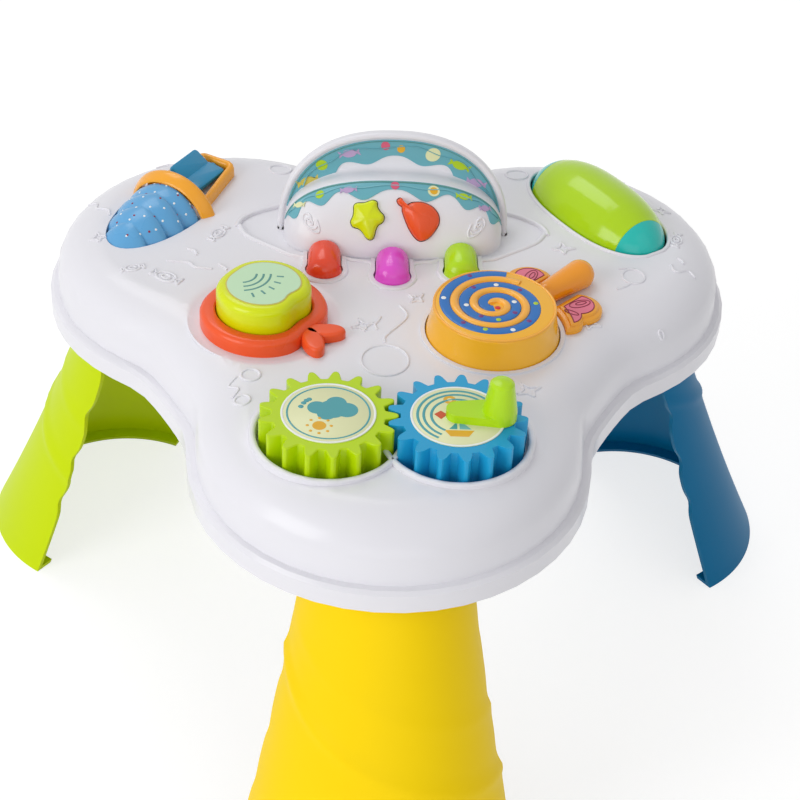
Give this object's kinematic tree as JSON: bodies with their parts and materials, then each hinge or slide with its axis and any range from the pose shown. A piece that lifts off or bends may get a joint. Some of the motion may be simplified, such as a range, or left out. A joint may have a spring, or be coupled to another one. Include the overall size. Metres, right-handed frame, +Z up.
{
  "type": "musical activity table",
  "caption": "Toddler activity table: lobed tray on splayed shell legs, with cake sound panel, piano keys, apple and lollipop buttons, ice cream rocker, roller, meshing gears and crank.",
  "frame": {"origin": "on the floor, at the middle of the footprint's box", "axes": "+X to the right, +Y away from the gears, +Z up"},
  "size_m": [0.5396, 0.4904, 0.328],
  "materials": {
    "white_plastic": "satin",
    "grey_plastic": "matt",
    "yellow_leg": "satin",
    "lime_leg": "satin",
    "blue_leg": "satin",
    "lime_gear": "satin",
    "blue_gear": "satin",
    "lime_plastic": "gloss",
    "orange_red": "gloss",
    "red_plastic": "gloss",
    "magenta_plastic": "gloss",
    "yellow_green": "gloss",
    "lolly_orange": "gloss",
    "swirl_blue": "gloss",
    "cone_orange": "gloss",
    "ice_blue": "gloss",
    "rocker_teal": "gloss",
    "cap_teal": "gloss",
    "roller_lime": "gloss",
    "roller_clear": "gloss",
    "icing_print": "printed",
    "label_print": "printed",
    "steel": "plain",
    "board": "matt",
    "black_plastic": "matt",
    "cell_jacket": "gloss",
    "silicone": "matt"
  },
  "bodies": {
    "table": {"top_shell": "white_plastic", "base_cover": "grey_plastic", "leg_front": "yellow_leg", "leg_left": "lime_leg", "leg_right": "blue_leg", "case_screws": "steel", "leg_screws": "steel", "battery_door": "grey_plastic", "battery_door_screw": "steel", "batteries": "cell_jacket", "battery_contacts": "steel", "main_board": "board", "board_screws": "steel", "speaker": "black_plastic", "power_switch": "black_plastic", "cake_body": "white_plastic", "cake_screws": "steel", "upper_icing": "icing_print", "lower_icing": "icing_print", "cake_board": "board", "star_dome": "silicone", "balloon_dome": "silicone", "key_red_dome": "silicone", "key_magenta_dome": "silicone", "key_green_dome": "silicone", "apple_base": "orange_red", "apple_dome": "silicone", "lollipop_dome": "silicone", "lollipop_stick": "lolly_orange", "lollipop_bow": "cone_orange", "cone_frame": "cone_orange", "rocker_pin": "steel", "scoop_board": "board", "scoop_dome": "silicone", "gear_screws": "steel", "roller_axle": "steel", "roller_cradle": "grey_plastic"},
    "switch_knob": {"power_switch_knob": "black_plastic"},
    "star": {"star_button": "yellow_green"},
    "balloon": {"balloon_button": "orange_red"},
    "red_key": {"key_red": "red_plastic"},
    "magenta_key": {"key_magenta": "magenta_plastic"},
    "green_key": {"key_green": "lime_plastic"},
    "apple": {"apple_button": "yellow_green", "apple_label": "label_print"},
    "lollipop": {"lollipop_drum": "lolly_orange", "lollipop_swirl": "swirl_blue"},
    "scoop": {"ice_cream_scoop": "ice_blue"},
    "rocker": {"cone_rocker": "rocker_teal"},
    "green_gear_set": {"green_gear": "lime_gear", "green_gear_label": "label_print"},
    "blue_gear_set": {"blue_gear": "blue_gear", "blue_gear_label": "label_print", "crank_handle": "lime_plastic"},
    "roller": {"roller_shell": "roller_lime", "roller_window": "roller_clear", "roller_cap_rear": "cap_teal", "roller_cap_front": "cap_teal"}
  },
  "joints": [
    {"name": "press_red_key", "type": "slide", "parent": "table", "child": "red_key", "axis": [0, 0, -1], "range_m": [0, 0.003], "stiffness_N_per_m": 800, "springref_m": -0.002, "deforming": ["key_red_dome"]},
    {"name": "press_magenta_key", "type": "slide", "parent": "table", "child": "magenta_key", "axis": [0, 0, -1], "range_m": [0, 0.003], "stiffness_N_per_m": 800, "springref_m": -0.002, "deforming": ["key_magenta_dome"]},
    {"name": "press_green_key", "type": "slide", "parent": "table", "child": "green_key", "axis": [0, 0, -1], "range_m": [0, 0.003], "stiffness_N_per_m": 800, "springref_m": -0.002, "deforming": ["key_green_dome"]},
    {"name": "press_apple", "type": "slide", "parent": "table", "child": "apple", "axis": [0, 0, -1], "range_m": [0, 0.003], "stiffness_N_per_m": 800, "springref_m": -0.002, "deforming": ["apple_dome"]},
    {"name": "press_lollipop", "type": "slide", "parent": "table", "child": "lollipop", "axis": [0, 0, -1], "range_m": [0, 0.003], "stiffness_N_per_m": 1000, "springref_m": -0.002, "deforming": ["lollipop_dome"]},
    {"name": "press_scoop", "type": "slide", "parent": "table", "child": "scoop", "axis": [0, 0, -1], "range_m": [0, 0.003], "stiffness_N_per_m": 800, "springref_m": -0.002, "deforming": ["scoop_dome"]},
    {"name": "press_star", "type": "slide", "parent": "table", "child": "star", "axis": [0.1472, 0.8089, -0.5693], "range_m": [0, 0.002], "stiffness_N_per_m": 500, "springref_m": -0.002, "deforming": ["star_dome"]},
    {"name": "press_balloon", "type": "slide", "parent": "table", "child": "balloon", "axis": [-0.1472, 0.8089, -0.5693], "range_m": [0, 0.002], "stiffness_N_per_m": 500, "springref_m": -0.002, "deforming": ["balloon_dome"]},
    {"name": "tip_rocker", "type": "hinge", "parent": "table", "child": "rocker", "pos_m": [-0.1305, 0.14462, 0.2715], "axis": [-0.5, -0.866, 0], "range_deg": [0, 26]},
    {"name": "turn_blue_gear", "type": "hinge", "parent": "table", "child": "blue_gear_set", "pos_m": [0.0338, -0.08748, 0.268], "axis": [0, 0, 1], "continuous": true},
    {"name": "turn_green_gear", "type": "hinge", "parent": "table", "child": "green_gear_set", "pos_m": [-0.0338, -0.08748, 0.268], "axis": [0, 0, 1], "continuous": true},
    {"name": "turn_roller", "type": "hinge", "parent": "table", "child": "roller", "pos_m": [0.1302, 0.14212, 0.263], "axis": [0.5446, -0.8387, 0], "continuous": true},
    {"name": "slide_power_switch", "type": "slide", "parent": "table", "child": "switch_knob", "axis": [0, 1, 0], "range_m": [0, 0.005]}
  ],
  "couplings": [
    {"joint": "turn_green_gear", "follows": "turn_blue_gear", "ratio": -1}
  ]
}
